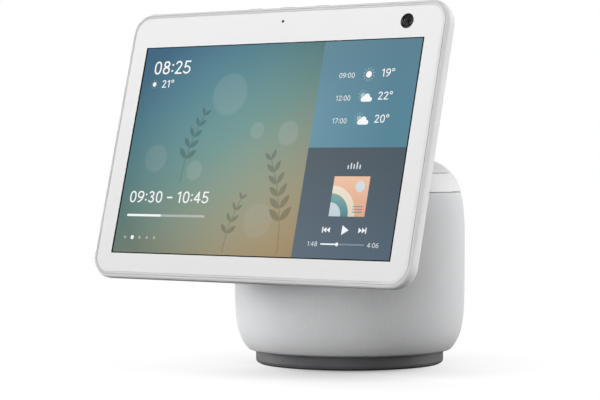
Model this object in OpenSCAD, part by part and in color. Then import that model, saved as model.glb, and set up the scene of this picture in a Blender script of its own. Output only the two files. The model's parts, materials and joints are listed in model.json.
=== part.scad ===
// Smart display: a tilting flat screen on a motorised, fabric-covered round speaker base.
// Millimetres, +Z up. The origin is on the floor, on the swivel axis. The screen faces -Y.

/* [Screen] */
// Width of the display housing
disp_w = 251; // [247:0.5:255]
// Height of the housing above the picture's centre
disp_up = 92.7; // [92.2:0.1:93]
// Height of the housing below the picture's centre
disp_dn = 84.7; // [84:0.1:86]
// Thickness of the housing
disp_d = 14.3; // [14.1:0.1:14.6]
// Outer corner radius of the housing
disp_rc = 14.5; // [13.5:0.25:16]
// Radius of the housing's front edge
edge_r = 2.8; // [2.6:0.1:3]
// Width of the rim round the glass
rim_w = 3.6; // [3.5:0.05:3.7]
// Radius of the housing's back edge
back_r = 10; // [9.6:0.1:10]
// Width of the picture
pic_w = 217; // [215:0.5:218]
// Height of the picture
pic_h = 135.6; // [134:0.2:137]
// Lean of the screen from upright, at rest
tilt = 14.88; // [14.6:0.02:15.2]
// Depth position of the picture's centre
scr_y = -92.1; // [-92.4:0.1:-91.8]
// Height of the picture's centre
scr_z = 139.4; // [139.2:0.1:139.8]

/* [Hinge] */
// Depth position of the tilt axis
hinge_y = -77; // [-77.2:0.1:-76.8]
// Height of the tilt axis
hinge_z = 118; // [117.8:0.1:118.2]
// Radius of the hinge pin
pin_r = 3; // [2.6:0.1:3.2]
// Running clearance of a shaft in its hole, on the radius
run_fit = 0.05; // [0.02:0.01:0.08]

/* [Base] */
// Largest radius of the base
base_r = 75.25; // [74.8:0.05:76]
// Top of the domed lid
dome_z = 136; // [135.5:0.5:137]
// Height of the lower seam, where the turning part starts
seam_lo = 112; // [111.8:0.1:112.2]
// Height of the upper seam, between the band and the lid
seam_hi = 124; // [123.8:0.1:124.4]
// Thickness of the fabric
fabric_t = 1; // [0.8:0.1:1.2]
// Radius of the foot
foot_r = 61.2; // [61:0.1:61.5]
// Height of the foot
foot_h = 9; // [8.9:0.05:9]

/* [Drive] */
// Gear module
gear_m = 1.2; // [1.2:0.1:1.2]
// Teeth on the ring gear
gear_n = 60; // [60:12:60]
// Teeth on the motor pinion
pin_n = 12; // [12:1:12]
// Gap between the teeth at the pitch circle
backlash = 0.2; // [0.15:0.01:0.3]

/* [Controls] */
// Length of a top button
btn_w = 11.6; // [10:0.2:12]
// Distance between the top buttons
btn_pitch = 26.4; // [24:0.2:28]
// Height that a button stands proud
btn_proud = 0.55; // [0.4:0.05:0.6]
// Camera's distance to the right of the picture's centre
cam_x = 95.75; // [95.5:0.05:96]
// Camera's height above the picture's centre
cam_t = 79.5; // [79.4:0.1:80]

/* [Hidden] */
$fn = 96;

cx = disp_w / 2 - disp_rc;
ct = disp_up - disp_rc;
cb = -disp_dn + disp_rc;
side_end = disp_d - back_r;
glass_x = disp_w / 2 - rim_w;
glass_up = disp_up - rim_w;
glass_dn = disp_dn - rim_w;
hinge_d = cos(tilt) * (hinge_y - scr_y) - sin(tilt) * (hinge_z - scr_z);
hinge_t = sin(tilt) * (hinge_y - scr_y) + cos(tilt) * (hinge_z - scr_z);
gear_r = gear_m * gear_n / 2;
drive_y = gear_m * (gear_n + pin_n) / 2;
woof_z = 58;
jack_z = 22;
btn_d = 4.3;

// Outline of the base: a superellipse from the waist up, drawn in towards the foot below it.
waist = 66;
function outline(z) =
  (z > waist ? base_r * pow(1 - pow((z - waist) / (dome_z - waist), 4.6), 1 / 4.5) : base_r)
  - 9.35 * exp(-(z - 9.4) / 9.5);
function lid_z(r) = waist + (dome_z - waist) * pow(1 - pow(r / base_r, 4.5), 1 / 4.6);
function out_dir(z) = let (d = 0.05, dr = outline(z + d) - outline(z - d), l = norm([dr, 2 * d])) [2 * d / l, -dr / l];
function in_by(z, t) = [outline(z), z] - t * out_dir(z);
function lid_in(r, t) = r < 0.01 ? [0, lid_z(0) - t] :
  let (d = 0.02, dz = lid_z(r + d) - lid_z(r - d), l = norm([dz, 2 * d])) [r, lid_z(r)] - t * [-dz / l, 2 * d / l];
function steps(a, b, n) = [for (i = [0:n]) a + (b - a) * i / n];
side_zs = concat(steps(9.2, 30, 9), steps(36, 90, 6), steps(94, seam_lo - 0.3, 8));
lid_rs = concat(steps(68.4, 58, 8), steps(55.5, 45, 4), steps(38, 0, 4));

// Involute outline of a gear with the first tooth on +X.
function inv_deg(r, rb) = r <= rb ? 0 : let (a = acos(rb / r)) tan(a) * 180 / PI - a;
function gear_pts(n, pa = 25, add = 0.8, ded = 1.1) =
  let (rp = gear_m * n / 2, rb = rp * cos(pa), rt = rp + add * gear_m, rr = rp - ded * gear_m,
    half = 90 / n - backlash / 4 / rp * 180 / PI + inv_deg(rp, rb),
    flank = [for (i = [0:4]) max(rb, rr) + (rt - max(rb, rr)) * i / 4], foot = rb > rr ? [rr] : [])
  [for (k = [0:n - 1]) let (c = 360 * k / n) each concat(
    [for (r = foot) r * [cos(c - half), sin(c - half)]],
    [for (r = flank) let (a = c - half + inv_deg(r, rb)) r * [cos(a), sin(a)]],
    [for (i = [4:-1:0]) let (r = flank[i], a = c + half - inv_deg(r, rb)) r * [cos(a), sin(a)]],
    [for (r = foot) r * [cos(c + half), sin(c + half)]])];

// Screen frame: x to the right, y up the screen, z out of the glass; the glass's face is z = 0.
module on_display() { translate([0, scr_y, scr_z]) rotate([90 - tilt, 0, 0]) children(); }
module deep(x0, x1, t0, t1, d0, d1) { translate([x0, t0, -d1]) cube([x1 - x0, t1 - t0, d1 - d0]); }
module round_rect(x0, x1, t0, t1, r) {
  translate([x0 + r, t0]) square([x1 - x0 - 2 * r, t1 - t0]);
  translate([x0, t0 + r]) square([x1 - x0, t1 - t0 - 2 * r]);
  for (x = [x0 + r, x1 - r], t = [t0 + r, t1 - r]) translate([x, t]) circle(r);
}
// Bar with round ends, w long and 2 r wide, that runs up the screen from t0 to t1.
module pill(x, w, t0, t1, d, r) {
  translate([x, t0, -d]) rotate([-90, 0, 0]) linear_extrude(t1 - t0) {
    translate([r - w / 2, -r]) square([w - 2 * r, 2 * r]);
    for (s = [-1, 1]) translate([s * (w / 2 - r), 0]) circle(r, $fn = 48);
  }
}
module plate(x0, x1, t0, t1, r, d0, d1) { translate([0, 0, -d1]) linear_extrude(d1 - d0) round_rect(x0, x1, t0, t1, r); }
module tube(ro, ri, z0, z1) {
  difference() {
    translate([0, 0, z0]) cylinder(r = ro, h = z1 - z0);
    translate([0, 0, z0 - 1]) cylinder(r = ri, h = z1 - z0 + 2);
  }
}
// Pan-head screw along +Z: the head's top is at z = 0 and the shank runs down.
module screw(r, len, head_r, head_h) {
  translate([0, 0, -head_h]) cylinder(r = head_r, h = head_h, $fn = 32);
  translate([0, 0, -head_h - len]) cylinder(r = r, h = len, $fn = 32);
}
module ring_of(n, r, a0 = 0) { for (i = [0:n - 1]) rotate([0, 0, a0 + 360 * i / n]) translate([r, 0, 0]) children(); }
module jack_hole(r) { translate([0, 40, jack_z]) rotate([-90, 0, 0]) cylinder(r = r, h = 60, $fn = 48); }
// Woofer frame: z runs into the enclosure from the flange's front face.
module on_woofer() { translate([0, -56.8, woof_z]) rotate([-90, 0, 0]) children(); }

// ---- base ----
module rubber_foot() { color([0.16, 0.16, 0.17]) cylinder(r = foot_r - 2.6, h = 2); }

module base_plate() {
  color([0.3, 0.3, 0.31]) difference() {
    union() {
      rotate_extrude() polygon([[0, 2], [foot_r - 2.5, 2], [foot_r - 2.5, 0.5], [foot_r - 1.6, 0.5], [foot_r - 0.5, 1.2],
        [foot_r, 2.6], [foot_r, foot_h - 0.6], [foot_r - 0.3, foot_h], [60.4, foot_h], [60.4, 9.9], [54, 9.9], [54, 5], [0, 5]]);
      ring_of(4, 49.5, 45) translate([0, 0, 4]) cylinder(r = 3.5, h = 14, $fn = 32);
    }
    ring_of(4, 56.2, 0) { cylinder(r = 1.3, h = 12, $fn = 32); cylinder(r = 2.3, h = 4, $fn = 32); }
    ring_of(4, 49.5, 45) { cylinder(r = 1.6, h = 20, $fn = 32); cylinder(r = 2.9, h = 3.6, $fn = 32); }
  }
}

module ballast() { color([0.5, 0.5, 0.52]) tube(45.6, 12, 5, 12); }

module base_screws() { color([0.45, 0.45, 0.47]) ring_of(4, 56.2, 0) translate([0, 0, 2.1]) rotate([180, 0, 0]) screw(1.25, 8.2, 2.2, 1.8); }

module post_screws() { color([0.45, 0.45, 0.47]) ring_of(4, 49.5, 45) translate([0, 0, 2.1]) rotate([180, 0, 0]) screw(1.55, 17, 2.7, 1.4); }

module grille_shell() {
  color([0.22, 0.22, 0.23]) difference() {
    union() {
      rotate_extrude() polygon(concat([for (z = side_zs) in_by(z, fabric_t + 0.1)],
        [for (i = [len(side_zs) - 1:-1:0]) in_by(side_zs[i], fabric_t + 2.5)]));
      tube(64, 54.5, 10, 12.4);
      tube(72.2, 67, 97.4, 100.2);
    }
    ring_of(4, 56.2, 0) cylinder(r = 1.3, h = 14, $fn = 32);
    ring_of(4, 68.8, 45) translate([0, 0, 95]) cylinder(r = 1, h = 10, $fn = 32);
    for (a = [-60:10:60]) rotate([0, 0, a - 90]) translate([60, -1.5, 26]) cube([20, 3, 64]);
    for (a = [-15, 0, 15], s = [0, 180]) rotate([0, 0, a + s]) translate([60, -1.5, 46]) cube([20, 3, 28]);
    jack_hole(8.6);
  }
}

module fabric_sleeve() {
  color([0.78, 0.79, 0.8]) difference() {
    rotate_extrude() polygon(concat([[foot_r + 0.4, 8.5]], [for (z = side_zs) [outline(z), z]],
      [for (i = [len(side_zs) - 1:-1:0]) in_by(side_zs[i], fabric_t)], [[foot_r + 0.4, 9.0]]));
    jack_hole(8.6);
  }
}

module main_board() { color([0.1, 0.32, 0.2]) tube(45, 6, 12.4, 14); }

module board_shield() { color([0.7, 0.7, 0.72]) translate([-20, -30, 14]) cube([40, 26, 3]); }

module power_jack() {
  color([0.08, 0.08, 0.08]) difference() {
    translate([-5.5, 34, 14]) cube([11, 29, 14]);
    translate([0, 52, jack_z]) rotate([-90, 0, 0]) cylinder(r = 3.2, h = 20, $fn = 48);
  }
  color([0.8, 0.8, 0.8]) translate([0, 51, jack_z]) rotate([-90, 0, 0]) cylinder(r = 1.2, h = 11, $fn = 32);
}

module jack_bezel() {
  color([0.12, 0.12, 0.12]) difference() {
    translate([0, 63, jack_z]) rotate([-90, 0, 0]) cylinder(r = 8.4, h = 16, $fn = 64);
    translate([0, outline(jack_z) - 0.5, jack_z]) rotate([-14.6, 0, 0]) translate([-15, 0, -15]) cube([30, 20, 30]);
    translate([0, 62, jack_z]) rotate([-90, 0, 0]) cylinder(r = 6.5, h = 20, $fn = 64);
  }
}

module enclosure_block(t) {
  difference() {
    intersection() {
      translate([0, 0, 18 + t]) cylinder(r = 65 - t, h = 79.2 - 2 * t);
      translate([-62 + t, -53.5 + t, 0]) cube([124 - 2 * t, 130, 130]);
    }
    translate([-14 - t, 31 - t, 0]) cube([28 + 2 * t, 60, 34 + t]);
    translate([-17 - t, 26 - t, 80 - t]) cube([34 + 2 * t, 60, 40]);
  }
}

module speaker_enclosure() {
  color([0.15, 0.15, 0.16]) difference() {
    enclosure_block(0);
    enclosure_block(3);
    translate([0, -60, woof_z]) rotate([-90, 0, 0]) cylinder(r = 36.6, h = 12);
    for (s = [-1, 1]) translate([s * 55, 0, 60]) rotate([0, s * 90, 0]) cylinder(r = 15, h = 20);
    on_woofer() ring_of(4, 38.6, 45) cylinder(r = 1.1, h = 12, $fn = 32);
    ring_of(4, 49.5, 45) cylinder(r = 1.6, h = 20.6, $fn = 32);
  }
}

module woofer_gasket() { color([0.1, 0.1, 0.1]) on_woofer() difference() { tube(40.5, 36.6, 2.5, 3.3); ring_of(4, 38.6, 45) cylinder(r = 1.15, h = 12, $fn = 32); } }

module woofer_frame() {
  color([0.2, 0.2, 0.22]) on_woofer() difference() {
    rotate_extrude() polygon([[40.5, 0], [40.5, 2.5], [36.2, 2.5], [36.2, 4], [24, 29], [24, 32], [11, 32], [11, 30], [22, 30], [34.6, 3.4], [35.6, 2], [35.6, 0]]);
    ring_of(4, 38.6, 45) translate([0, 0, -1]) cylinder(r = 1.15, h = 12, $fn = 32);
  }
}

module woofer_magnet() { color([0.3, 0.3, 0.32]) on_woofer() rotate_extrude() polygon([[0, 50], [30, 50], [30, 32.1], [11, 32.1], [11, 43], [9.6, 43], [9.6, 32.1], [0, 32.1]]); }

module woofer_surround() {
  color([0.07, 0.07, 0.07]) on_woofer() rotate_extrude() {
    intersection() {
      translate([32.6, 2.2]) difference() { circle(2.6); circle(1.9); }
      translate([28, -2]) square([8, 4.2]);
    }
  }
}

module woofer_screws() { color([0.4, 0.4, 0.42]) on_woofer() ring_of(4, 38.6, 45) translate([0, 0, -1.2]) rotate([180, 0, 0]) screw(1.08, 6, 1.8, 1.2); }

module woofer_cone() {
  color([0.12, 0.12, 0.13]) on_woofer() rotate_extrude()
    polygon([[0, 13.6], [12, 16.6], [29.6, 4], [29.6, 5.2], [10.6, 19.6], [10.6, 37], [10.05, 37], [10.05, 18.2], [0, 14.8]]);
}

module tweeter(s) {
  translate([s * 62, 0, 60]) rotate([0, s * 90, 0]) rotate_extrude()
    polygon([[0, -14], [11, -14], [14.8, -4], [14.8, 0], [17.5, 0], [17.5, 1.8], [13, 1.8], [12.4, 0.6], [9, 2.2], [5, 3.4], [0, 4]]);
}
module tweeter_left() { color([0.14, 0.14, 0.15]) tweeter(-1); }
module tweeter_right() { color([0.14, 0.14, 0.15]) tweeter(1); }

module top_plate() {
  color([0.6, 0.6, 0.62]) difference() {
    translate([0, 0, 100.2]) cylinder(r = 70.4, h = 3);
    cylinder(r = 19, h = 200);
    translate([0, drive_y, 90]) cylinder(r = 4, h = 30, $fn = 48);
    for (s = [-1, 1]) translate([s * 10.5, drive_y, 90]) cylinder(r = 1.1, h = 30, $fn = 32);
    ring_of(4, 68.8, 45) translate([0, 0, 95]) cylinder(r = 1, h = 20, $fn = 32);
  }
}

module plate_screws() { color([0.45, 0.45, 0.47]) ring_of(4, 68.8, 45) translate([0, 0, 104.2]) screw(0.95, 5, 1.5, 1); }

module bearing_bush() {
  color([0.85, 0.83, 0.75]) { difference() {
    union() { translate([0, 0, 100.2]) cylinder(r = 19, h = 3); translate([0, 0, 103.2]) cylinder(r = 23, h = 1); }
    translate([0, 0, 99]) cylinder(r = 16 + run_fit, h = 8);
  } }
}

module glide_ring() { color([0.9, 0.9, 0.88]) tube(57, 53, 103.2, 106); }

module drive_motor() {
  color([0.55, 0.55, 0.58]) difference() {
    translate([0, drive_y, 83]) cylinder(r = 13, h = 17.2);
    translate([0, drive_y, 86]) cylinder(r = 1.5 + run_fit, h = 30, $fn = 48);
    for (s = [-1, 1]) translate([s * 10.5, drive_y, 94]) cylinder(r = 1.1, h = 30, $fn = 32);
  }
}

module motor_screws() { color([0.45, 0.45, 0.47]) for (s = [-1, 1]) translate([s * 10.5, drive_y, 104.4]) screw(1.05, 7, 1.9, 1.2); }

// ---- motor pinion ----
module motor_shaft() { color([0.7, 0.7, 0.72]) translate([0, drive_y, 86.5]) cylinder(r = 1.5, h = 22.4, $fn = 48); }

module drive_pinion() {
  color([0.8, 0.65, 0.3]) translate([0, drive_y, 104.7]) difference() {
    linear_extrude(4.2) polygon(gear_pts(pin_n));
    translate([0, 0, -1]) cylinder(r = 1.5, h = 8, $fn = 48);
  }
}

// ---- swivel ----
module turntable() {
  color([0.6, 0.6, 0.62]) difference() {
    rotate_extrude() polygon([[12, 97.9], [15, 97.9], [15, 99.8], [16, 99.8], [16, 109.2], [53.5, 109.2], [53.5, 106.1], [56.5, 106.1], [56.5, 109.2],
      [67, 109.2], [67, seam_lo + 0.2], [12, seam_lo + 0.2]]);
    ring_of(6, 64.5, 30) translate([0, 0, 100]) cylinder(r = 1.3, h = 20, $fn = 32);
    ring_of(4, 26, 45) translate([0, 0, 105]) cylinder(r = 1.3, h = 6.2, $fn = 32);
    for (x = [-13, 13], y = [-49, -34]) translate([x, y, 109.8]) cylinder(r = 1.6, h = 20, $fn = 32);
  }
}

module retaining_ring() { color([0.6, 0.6, 0.62]) tube(19.5, 15, 98.2, 99.7); }

module ring_gear() {
  color([0.88, 0.87, 0.82]) translate([0, 0, 104.9]) difference() {
    rotate([0, 0, 180 / gear_n]) linear_extrude(4.3) polygon(gear_pts(gear_n));
    translate([0, 0, -1]) cylinder(r = 17, h = 8);
    ring_of(4, 26, 45) translate([0, 0, -1]) cylinder(r = 1.3, h = 8, $fn = 32);
    ring_of(4, 26, 45) translate([0, 0, -1]) cylinder(r = 2.6, h = 2.6, $fn = 32);
  }
}

module gear_screws() { color([0.45, 0.45, 0.47]) ring_of(4, 26, 45) translate([0, 0, 105.1]) rotate([180, 0, 0]) screw(1.25, 4.5, 2.4, 1.4); }

module band_ring() {
  zs = steps(seam_lo + 0.2, seam_hi - 0.1, 8);
  color([0.93, 0.93, 0.93]) difference() {
    rotate_extrude() polygon(concat([for (z = zs) [outline(z), z]], [[64, seam_hi - 0.1], [64, seam_lo + 2.4], [60, seam_lo + 2.4], [60, seam_lo + 0.2]]));
    translate([-16.3, -90, seam_lo + 2.7]) cube([32.6, 40, 8.2]);
    ring_of(6, 64.5, 30) translate([0, 0, 100]) cylinder(r = 1.3, h = 14.2, $fn = 32);
  }
}

module band_screws() { color([0.45, 0.45, 0.47]) ring_of(6, 64.5, 30) translate([0, 0, 107.8]) rotate([180, 0, 0]) screw(1.25, 4.6, 2.2, 1.4); }

module neck_arm() {
  color([0.93, 0.93, 0.93]) difference() {
    union() {
      translate([-20, -55, seam_lo + 0.2]) cube([40, 28, 4]);
      translate([-16, hinge_y, 115]) cube([32, -hinge_y - 44, 7.4]);
      translate([-18, hinge_y, hinge_z]) rotate([0, 90, 0]) cylinder(r = 5.3, h = 36);
    }
    translate([-30, hinge_y, hinge_z]) rotate([0, 90, 0]) cylinder(r = pin_r, h = 60);
    for (x = [-13, 13], y = [-49, -34]) translate([x, y, 105]) { cylinder(r = 1.7, h = 30, $fn = 32); translate([0, 0, seam_lo - 101]) cylinder(r = 3.3, h = 20, $fn = 32); }
  }
}

module neck_screws() { color([0.45, 0.45, 0.47]) for (x = [-13, 13], y = [-49, -34]) translate([x, y, seam_lo + 6]) screw(1.58, 5.5, 3, 2); }

module top_cap() {
  color([0.25, 0.25, 0.26]) difference() {
    union() {
      difference() {
        rotate_extrude() polygon(concat([for (r = lid_rs) lid_in(r, fabric_t + 0.2)], [for (i = [len(lid_rs) - 1:-1:0]) lid_in(lid_rs[i], fabric_t + 2.7)]));
        cylinder(r = 90, h = seam_hi + 0.1);
      }
      tube(63.7, 61.4, 117.5, seam_hi + 1.2);
    }
    translate([-16.6, -80, 110]) cube([33.2, 40, 12.9]);
  }
}

module cap_fabric() {
  color([0.78, 0.79, 0.8]) difference() {
    rotate_extrude() polygon(concat([for (r = lid_rs) [r, lid_z(r)]], [for (i = [len(lid_rs) - 1:-1:0]) lid_in(lid_rs[i], fabric_t)]));
    cylinder(r = 90, h = seam_hi + 0.1);
  }
}

module hinge_pin() { color([0.7, 0.7, 0.72]) translate([-29, hinge_y, hinge_z]) rotate([0, 90, 0]) cylinder(r = pin_r, h = 58); }

// ---- display ----
// Section through the housing's edge: x runs outwards from the corner's centre, y is 0 at the glass and falls inwards.
module edge_section(r) {
  translate([0, -disp_d]) square([r - back_r, disp_d]);
  translate([r - back_r, -side_end]) square([back_r - edge_r, side_end]);
  translate([r - edge_r, -side_end]) square([edge_r, side_end - edge_r]);
  intersection() { translate([r - edge_r, -edge_r]) circle(edge_r); translate([r - edge_r, -edge_r]) square(edge_r); }
  intersection() { translate([r - back_r, -side_end]) circle(back_r); translate([r - back_r, -disp_d]) square(back_r); }
}

module housing_block() {
  for (c = [[cx, ct, 0], [-cx, ct, 90], [-cx, cb, 180], [cx, cb, 270]])
    translate([c[0], c[1], 0]) rotate([0, 0, c[2]]) rotate_extrude(angle = 90) edge_section(disp_rc);
  translate([cx, ct, 0]) rotate([90, 0, 0]) linear_extrude(ct - cb) edge_section(disp_rc);
  translate([-cx, cb, 0]) rotate([0, 0, 180]) rotate([90, 0, 0]) linear_extrude(ct - cb) edge_section(disp_rc);
  translate([-cx, ct, 0]) rotate([0, 0, 90]) rotate([90, 0, 0]) linear_extrude(2 * cx) edge_section(disp_rc);
  translate([cx, cb, 0]) rotate([0, 0, 270]) rotate([90, 0, 0]) linear_extrude(2 * cx) edge_section(disp_rc);
  translate([-cx, cb, -disp_d]) cube([2 * cx, ct - cb, disp_d]);
}

// The glass's outline, grown by w.
module glass_area(w, d0, d1) { plate(-glass_x - w, glass_x + w, -glass_dn - w, glass_up + w, 10.9 + w, d0, d1); }

module rear_cover() {
  color([0.93, 0.93, 0.93]) on_display() difference() {
    housing_block();
    glass_area(0.2, -1, 1.2);
    // Fine line round the rim
    difference() { glass_area(1.8, -1, 0.6); glass_area(1.5, -2, 2); }
    difference() {
      plate(-119.5, 119.5, -disp_dn + 6, disp_up - 5.9, 6, 0.5, disp_d - 2);
      for (x = [-116, 116], t = [-60, 0, 60]) translate([x, t, -disp_d + 1]) cylinder(r = 3, h = disp_d - 6.2, $fn = 32);
    }
    for (x = [-116, 116], t = [-60, 0, 60]) translate([x, t, -10]) cylinder(r = 1.02, h = 6, $fn = 32);
    for (s = [-1, 1]) deep(s * 21.6 - 3.4, s * 21.6 + 3.4, hinge_t - 6.3, hinge_t + 6.3, 10, 20);
    for (i = [-1:1]) pill(i * btn_pitch, btn_w + 0.4, disp_up - 8, disp_up + 2, btn_d, 1.6);
    pill(cam_x - 8.25, 17, disp_up - 1.3, disp_up + 2, btn_d, 1.6);
    deep(cam_x - 14.95, cam_x - 1.55, disp_up - 8, disp_up, btn_d - 0.8, btn_d + 0.8);
  }
}

module front_glass() { color([0.92, 0.92, 0.92]) on_display() glass_area(0, 0, 1.15); }

module lcd_panel() { color([0.1, 0.12, 0.16]) on_display() deep(-pic_w / 2 - 5, pic_w / 2 + 5, -pic_h / 2 - 6, pic_h / 2 + 5, 1.2, 4); }

module mid_frame() {
  color([0.68, 0.68, 0.7]) on_display() difference() {
    plate(-118.5, 118.5, -disp_dn + 7.4, 75.2, 5, 4.2, 5.2);
    for (x = [-33, 33], t = [-30, -4]) translate([x, t, -6]) cylinder(r = 1.6, h = 3, $fn = 32);
    for (x = [-116, 116], t = [-60, 0, 60]) translate([x, t, -6]) cylinder(r = 1.05, h = 3, $fn = 32);
  }
}

module frame_screws() { color([0.45, 0.45, 0.47]) on_display() for (x = [-116, 116], t = [-60, 0, 60]) translate([x, t, -3.2]) screw(1, 4.8, 1.8, 1); }

module hinge_bracket() {
  color([0.9, 0.9, 0.9]) on_display() difference() {
    union() {
      deep(-42, 42, -38, 6, 5.2, 7.2);
      for (s = [-1, 1]) {
        deep(s * 21.6 - 3.1, s * 21.6 + 3.1, hinge_t - 5.3, hinge_t + 5.3, 7.2, hinge_d);
        translate([s * 21.6 - 3.1, hinge_t, -hinge_d]) rotate([0, 90, 0]) cylinder(r = 5.3, h = 6.2);
      }
    }
    translate([-60, hinge_t, -hinge_d]) rotate([0, 90, 0]) cylinder(r = pin_r + run_fit, h = 120);
    for (x = [-33, 33], t = [-30, -4]) translate([x, t, -9]) cylinder(r = 1.6, h = 8, $fn = 32);
  }
}

module bracket_screws() { color([0.45, 0.45, 0.47]) on_display() for (x = [-33, 33], t = [-30, -4]) translate([x, t, -9]) rotate([180, 0, 0]) screw(1.55, 2.8, 2.8, 1.8); }

module friction_washers() {
  color([0.62, 0.62, 0.64]) on_display() for (s = [-1, 1]) translate([s * 25.5 - 0.7, hinge_t, -hinge_d]) rotate([0, 90, 0]) difference() {
    cylinder(r = 5, h = 1.4); translate([0, 0, -1]) cylinder(r = pin_r + run_fit, h = 4);
  }
}

module hinge_nuts() {
  color([0.6, 0.6, 0.62]) for (s = [-1, 1]) translate([s * 28 - 1.7, hinge_y, hinge_z]) rotate([0, 90, 0]) difference() {
    cylinder(r = 5, h = 3.4, $fn = 6); translate([0, 0, -1]) cylinder(r = pin_r, h = 6);
  }
}

module hinge_caps() {
  color([0.93, 0.93, 0.93]) on_display() for (s = [-1, 1]) mirror([s < 0 ? 1 : 0, 0, 0]) difference() {
    union() {
      deep(24.8, 31.6, hinge_t - 7, hinge_t + 7, disp_d, hinge_d);
      translate([24.8, hinge_t, -hinge_d]) rotate([0, 90, 0]) cylinder(r = 7, h = 6.8);
    }
    translate([24, hinge_t, -hinge_d]) rotate([0, 90, 0]) cylinder(r = 5.6, h = 6.2);
    deep(20, 40, hinge_t - 10, hinge_t + 10, 0, disp_d);
  }
}

module display_board() { color([0.1, 0.32, 0.2]) on_display() deep(-62, 62, 12, 62, 5.2, 6.8); }

module display_shield() { color([0.72, 0.72, 0.74]) on_display() deep(-50, 0, 20, 54, 6.8, 9.2); }

module camera_module() {
  color([0.07, 0.07, 0.08]) on_display() {
    deep(cam_x - 4.5, cam_x + 4.5, cam_t - 3.9, cam_t + 4.3, 4, disp_d - 2);
    translate([cam_x, cam_t, -4]) cylinder(r = 3.7, h = 1.8, $fn = 48);
  }
}

module light_sensor() { color([0.1, 0.1, 0.1]) on_display() translate([0, 82.3, -1.9]) cylinder(r = 0.9, h = 0.7, $fn = 32); }

module button_board() {
  color([0.1, 0.3, 0.2]) on_display() { deep(-36, 36, 79.2, 80.4, 2, 8.5); }
  color([0.2, 0.2, 0.2]) on_display() for (i = [-1:1]) deep(i * btn_pitch - 2.2, i * btn_pitch + 2.2, 80.4, 82.6, 2.8, 5.8);
}

module top_button(i) {
  color([0.93, 0.93, 0.93]) on_display() {
    pill(i * btn_pitch, btn_w, 85.4, disp_up + btn_proud, btn_d, 1.4);
    deep(i * btn_pitch - btn_w / 2 - 1.4, i * btn_pitch + btn_w / 2 + 1.4, 84.4, 86.4, btn_d - 1.4, btn_d + 3.4);
    deep(i * btn_pitch - 1.2, i * btn_pitch + 1.2, 83.4, 84.4, btn_d - 1, btn_d + 1);
  }
}
module volume_down_button() { top_button(-1); }
module volume_up_button() { top_button(0); }
module mute_button() { top_button(1); }

module shutter_slider() {
  color([0.93, 0.93, 0.93]) on_display() {
    pill(cam_x - 12.75, 7.6, disp_up - 1.2, disp_up + 0.35, btn_d, 1.4);
    deep(cam_x - 14.75, cam_x - 10.75, 85.6, disp_up - 1, btn_d - 0.6, btn_d + 0.6);
    deep(cam_x - 15.75, cam_x - 9.75, 85, 86.3, 1.35, btn_d + 1.4);
    deep(cam_x - 15.75, cam_x - 4.75, 74.4, 86.3, 1.35, 1.95);
  }
}

rubber_foot();
base_plate();
ballast();
base_screws();
post_screws();
grille_shell();
fabric_sleeve();
main_board();
board_shield();
power_jack();
jack_bezel();
speaker_enclosure();
woofer_gasket();
woofer_frame();
woofer_magnet();
woofer_surround();
woofer_screws();
woofer_cone();
tweeter_left();
tweeter_right();
top_plate();
plate_screws();
bearing_bush();
glide_ring();
drive_motor();
motor_screws();
motor_shaft();
drive_pinion();
turntable();
retaining_ring();
ring_gear();
gear_screws();
band_ring();
band_screws();
neck_arm();
neck_screws();
top_cap();
cap_fabric();
hinge_pin();
rear_cover();
front_glass();
lcd_panel();
mid_frame();
frame_screws();
hinge_bracket();
bracket_screws();
friction_washers();
hinge_nuts();
hinge_caps();
display_board();
display_shield();
camera_module();
light_sensor();
button_board();
volume_down_button();
volume_up_button();
mute_button();
shutter_slider();
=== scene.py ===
import json
import math

import bmesh
import bpy
import numpy as np
from mathutils import Matrix, Vector
from mathutils.geometry import delaunay_2d_cdt


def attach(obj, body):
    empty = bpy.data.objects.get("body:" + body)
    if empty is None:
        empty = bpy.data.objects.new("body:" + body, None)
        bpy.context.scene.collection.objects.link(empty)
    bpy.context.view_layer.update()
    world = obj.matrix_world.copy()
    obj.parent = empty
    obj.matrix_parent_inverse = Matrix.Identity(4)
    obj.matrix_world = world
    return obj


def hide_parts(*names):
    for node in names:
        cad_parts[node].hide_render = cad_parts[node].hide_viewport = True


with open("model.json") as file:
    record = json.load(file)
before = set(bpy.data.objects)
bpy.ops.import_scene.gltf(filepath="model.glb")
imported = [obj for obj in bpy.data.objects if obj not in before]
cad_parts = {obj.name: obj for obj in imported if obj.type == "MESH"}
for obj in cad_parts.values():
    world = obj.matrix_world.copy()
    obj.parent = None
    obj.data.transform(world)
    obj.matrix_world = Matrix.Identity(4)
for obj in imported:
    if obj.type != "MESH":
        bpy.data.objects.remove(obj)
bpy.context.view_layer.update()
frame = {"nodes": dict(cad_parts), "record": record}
nodes = frame["nodes"]
scene = bpy.context.scene
MM = 0.001

# ---------------------------------------------------------------- shared shape numbers, in mm
TILT = math.radians(14.88)
SCR_Y, SCR_Z = -92.1, 139.4
HOUSE_UP, HOUSE_D = 92.7, 14.3
GLASS_X, GLASS_UP, GLASS_DN, GLASS_R, GLASS_T = 122.04, 89.24, 81.24, 11.04, 1.15
WIN_X, WIN_T = 110.33, 68.95
PIC_L, PIC_R, PIC_LO, PIC_UP = -109.0, 109.4, -68.2, 68.3
SPLIT_S, SPLIT_T = 36.6, 0.6
CAM_S, CAM_T, CAM_R = 95.75, 79.5, 4.64
DOT_S, DOT_T, DOT_R = 0.15, 82.9, 0.95
BTN_PITCH, BTN_TOP, BTN_D = 26.4, 93.25, 4.3
BASE_R, WAIST, DOME_Z = 75.25, 66.0, 136.0
SEAM_LO, SEAM_HI, JACK_Z = 112.0, 124.0, 22.0
LOOP = 0.788


def on_display(s, t, d=0.0):
    """A point of the display in metres: s to the right, t up the screen, d behind the face of the glass."""
    return Vector((s, SCR_Y + t * math.sin(TILT) + d * math.cos(TILT), SCR_Z + t * math.cos(TILT) - d * math.sin(TILT))) * MM


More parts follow.
